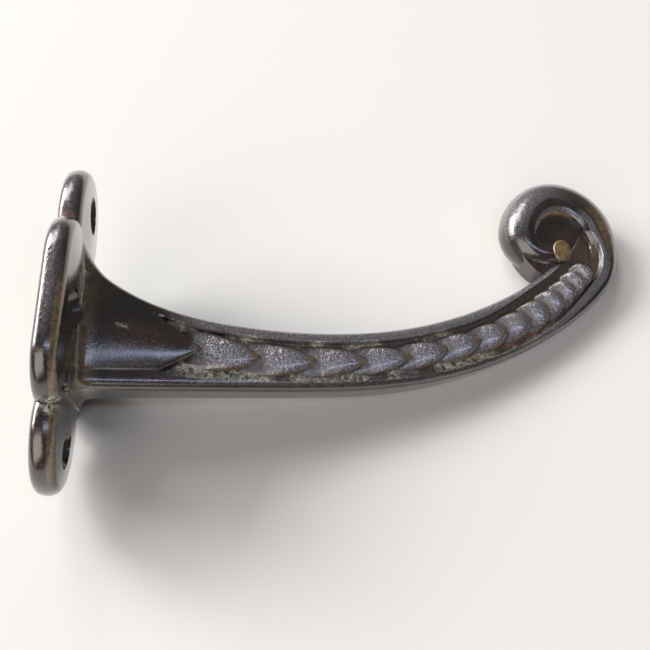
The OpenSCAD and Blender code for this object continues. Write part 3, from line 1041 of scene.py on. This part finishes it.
def place_camera(scene):
    """A close camera, a little below the arm and to the left of it."""
    data = bpy.data.cameras.new("camera")
    data.sensor_width = SENSOR
    data.lens = LENS
    data.clip_start = NEAREST
    axes = looking(*VIEW_TURN)
    location = VIEW_TARGET + axes.col[2] * VIEW_DISTANCE
    camera = bpy.data.objects.new("camera", data)
    camera.matrix_world = Matrix.Translation(location) @ axes.to_4x4()
    scene.collection.objects.link(camera)
    scene.camera = camera
    return camera


def lay_floor(scene):
    """The floor that the hook lies on: a flat sheet, seen from its front only."""
    across = FLOOR_NORMAL.orthogonal().normalized()
    up = FLOOR_NORMAL.cross(across)
    grid = np.linspace(-FLOOR_REACH, FLOOR_REACH, 3)
    gu, gv = (g[..., None] for g in np.meshgrid(grid, grid, indexing="ij"))
    points = np.array(FLOOR_POINT) + gu * np.array(across) + gv * np.array(up)
    mesh = bpy.data.meshes.new("floor")
    mesh.from_pydata(points.reshape(-1, 3).tolist(), [], strip_faces(3, 3, False).tolist())
    floor = bpy.data.objects.new("floor", mesh)
    if mesh.polygons[0].normal.dot(FLOOR_NORMAL) < 0:
        mesh.flip_normals()
    scene.collection.objects.link(floor)
    mesh.materials.append(floor_sheet(scene.hook_colours))


def floor_sheet(colours):
    """Matt pale card. From behind it is clear, and it lets lamps shine through, so that
    the far side of the hook can be seen and is lit."""
    material = bpy.data.materials.new("floor_card")
    material.use_nodes = True
    tree = material.node_tree
    shader = tree.nodes["Principled BSDF"]
    shader.inputs["Base Color"].default_value = tuple(colours.floor)
    shader.inputs["Roughness"].default_value = 0.9
    shader.inputs["Specular IOR Level"].default_value = 0.1
    side = add_node(tree, "ShaderNodeNewGeometry").outputs["Backfacing"]
    path = add_node(tree, "ShaderNodeLightPath")
    passing = {0: side, 1: path.outputs["Is Shadow Ray"]}
    through = add_node(tree, "ShaderNodeMath", passing, operation="MAXIMUM")
    clear = add_node(tree, "ShaderNodeBsdfTransparent")
    shaders = {0: through.outputs[0], 1: shader.outputs["BSDF"], 2: clear.outputs["BSDF"]}
    choose = add_node(tree, "ShaderNodeMixShader", shaders)
    tree.links.new(choose.outputs["Shader"], tree.nodes["Material Output"].inputs["Surface"])
    return material


def hang_lamps(scene, camera):
    """Soft lamps, each a rectangle that faces the middle of the view."""
    axes = camera.matrix_world.to_3x3()
    for name, place, (wide, high), power, colour in LAMPS:
        data = bpy.data.lights.new(name, "AREA")
        data.shape = "RECTANGLE"
        data.size, data.size_y = wide, high
        data.energy = power
        data.color = linear(colour)[:3]
        location = VIEW_TARGET + axes @ Vector(place)
        turn = (VIEW_TARGET - location).to_track_quat("-Z", "Y")
        lamp = bpy.data.objects.new(name, data)
        lamp.matrix_world = Matrix.Translation(location) @ turn.to_matrix().to_4x4()
        scene.collection.objects.link(lamp)


def light_world(scene):
    """Even dim light all round, and white where the camera sees past the floor. A gloss
    sees the gloss share of that white, so that the black japan stays black."""
    world = bpy.data.worlds.new("plain")
    scene.world = world
    world.use_nodes = True
    tree = world.node_tree
    tree.nodes.clear()
    path = add_node(tree, "ShaderNodeLightPath")
    rays = {0: path.outputs["Is Camera Ray"], 1: path.outputs["Is Transmission Ray"]}
    seen = add_node(tree, "ShaderNodeMath", rays, operation="MAXIMUM")
    rays = {0: path.outputs["Is Glossy Ray"], 1: GLOSS_SHARE, 2: seen.outputs[0]}
    seen = add_node(tree, "ShaderNodeMath", rays, operation="MULTIPLY_ADD", use_clamp=True)
    light = {"Color": linear(EVEN_COLOUR), "Strength": EVEN_STRENGTH}
    even = add_node(tree, "ShaderNodeBackground", light)
    white = add_node(tree, "ShaderNodeBackground", {"Color": linear(WHITE), "Strength": 1.0})
    shaders = {0: seen.outputs[0], 1: even.outputs[0], 2: white.outputs[0]}
    choose = add_node(tree, "ShaderNodeMixShader", shaders)
    out = add_node(tree, "ShaderNodeOutputWorld")
    tree.links.new(choose.outputs[0], out.inputs["Surface"])


class HOOK_PT_panel(bpy.types.Panel):
    """Panel that lists the steps"""

    bl_label = "Wall Hook"
    bl_idname = "HOOK_PT_panel"
    bl_space_type = "VIEW_3D"
    bl_region_type = "UI"
    bl_category = "Wall Hook"

    def draw(self, context):
        for step in (HOOK_OT_casting, HOOK_OT_stage):
            self.layout.operator(step.bl_idname)


GROUPS = {
    "hook_plate": PlateSizes,
    "hook_arm": ArmSizes,
    "hook_scroll": ScrollSizes,
    "hook_colours": FinishColours,
}
CLASSES = (*GROUPS.values(), HOOK_OT_casting, HOOK_OT_stage, HOOK_PT_panel)


def register():
    """Registers the classes and puts the groups of settings on the scene."""
    for cls in CLASSES:
        bpy.utils.register_class(cls)
    for name, group in GROUPS.items():
        setattr(bpy.types.Scene, name, bpy.props.PointerProperty(type=group))


def unregister():
    """Takes off what register puts on, in reverse."""
    for name in GROUPS:
        delattr(bpy.types.Scene, name)
    for cls in reversed(CLASSES):
        bpy.utils.unregister_class(cls)


def main():
    register()
    bpy.ops.hook.build_casting()
    bpy.ops.hook.build_stage()
    bpy.context.view_layer.update()


if __name__ == "__main__":
    main()
